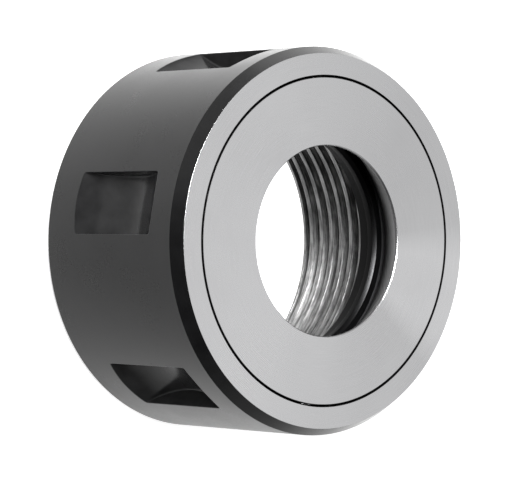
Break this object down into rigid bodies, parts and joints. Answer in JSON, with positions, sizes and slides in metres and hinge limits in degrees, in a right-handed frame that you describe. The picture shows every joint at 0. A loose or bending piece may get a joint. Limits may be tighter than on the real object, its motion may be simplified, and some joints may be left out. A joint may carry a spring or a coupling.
{
  "type": "collet nut",
  "caption": "Round collet nut with an internal spindle thread, spanner pockets round the outside and a thrust ring with a cone seat that turns on a row of balls.",
  "frame": {"origin": "centre of the rear face, which the nut stands on", "axes": "+Z along the nut's axis from the threaded rear face to the front face, +X through the middle of one spanner pocket"},
  "size_m": [0.06, 0.06, 0.032],
  "materials": {
    "black_oxide_steel": "satin black oxide, with ground bright front rim",
    "ground_steel": "fine ground",
    "plug_steel": "satin black oxide",
    "bearing_steel": "polished"
  },
  "bodies": {
    "nut_body": {"nut_body": "black_oxide_steel", "ball_fill_plug": "plug_steel"},
    "thrust_ring": {"thrust_ring": "ground_steel"},
    "ball_row": {"bearing_ball_01": "bearing_steel", "bearing_ball_02": "bearing_steel", "bearing_ball_03": "bearing_steel", "bearing_ball_04": "bearing_steel", "bearing_ball_05": "bearing_steel", "bearing_ball_06": "bearing_steel", "bearing_ball_07": "bearing_steel", "bearing_ball_08": "bearing_steel", "bearing_ball_09": "bearing_steel", "bearing_ball_10": "bearing_steel", "bearing_ball_11": "bearing_steel", "bearing_ball_12": "bearing_steel", "bearing_ball_13": "bearing_steel", "bearing_ball_14": "bearing_steel", "bearing_ball_15": "bearing_steel", "bearing_ball_16": "bearing_steel", "bearing_ball_17": "bearing_steel", "bearing_ball_18": "bearing_steel", "bearing_ball_19": "bearing_steel", "bearing_ball_20": "bearing_steel", "bearing_ball_21": "bearing_steel", "bearing_ball_22": "bearing_steel", "bearing_ball_23": "bearing_steel", "bearing_ball_24": "bearing_steel", "bearing_ball_25": "bearing_steel", "bearing_ball_26": "bearing_steel", "bearing_ball_27": "bearing_steel", "bearing_ball_28": "bearing_steel", "bearing_ball_29": "bearing_steel", "bearing_ball_30": "bearing_steel", "bearing_ball_31": "bearing_steel", "bearing_ball_32": "bearing_steel", "bearing_ball_33": "bearing_steel", "bearing_ball_34": "bearing_steel", "bearing_ball_35": "bearing_steel", "bearing_ball_36": "bearing_steel", "bearing_ball_37": "bearing_steel", "bearing_ball_38": "bearing_steel", "bearing_ball_39": "bearing_steel"}
  },
  "joints": [
    {"name": "thrust_ring_spin", "type": "hinge", "parent": "nut_body", "child": "thrust_ring", "pos_m": [0, 0, 0.026], "axis": [0, 0, 1], "continuous": true},
    {"name": "ball_row_orbit", "type": "hinge", "parent": "nut_body", "child": "ball_row", "pos_m": [0, 0, 0.026], "axis": [0, 0, 1], "continuous": true}
  ],
  "couplings": [
    {"joint": "ball_row_orbit", "follows": "thrust_ring_spin", "ratio": 0.472}
  ]
}
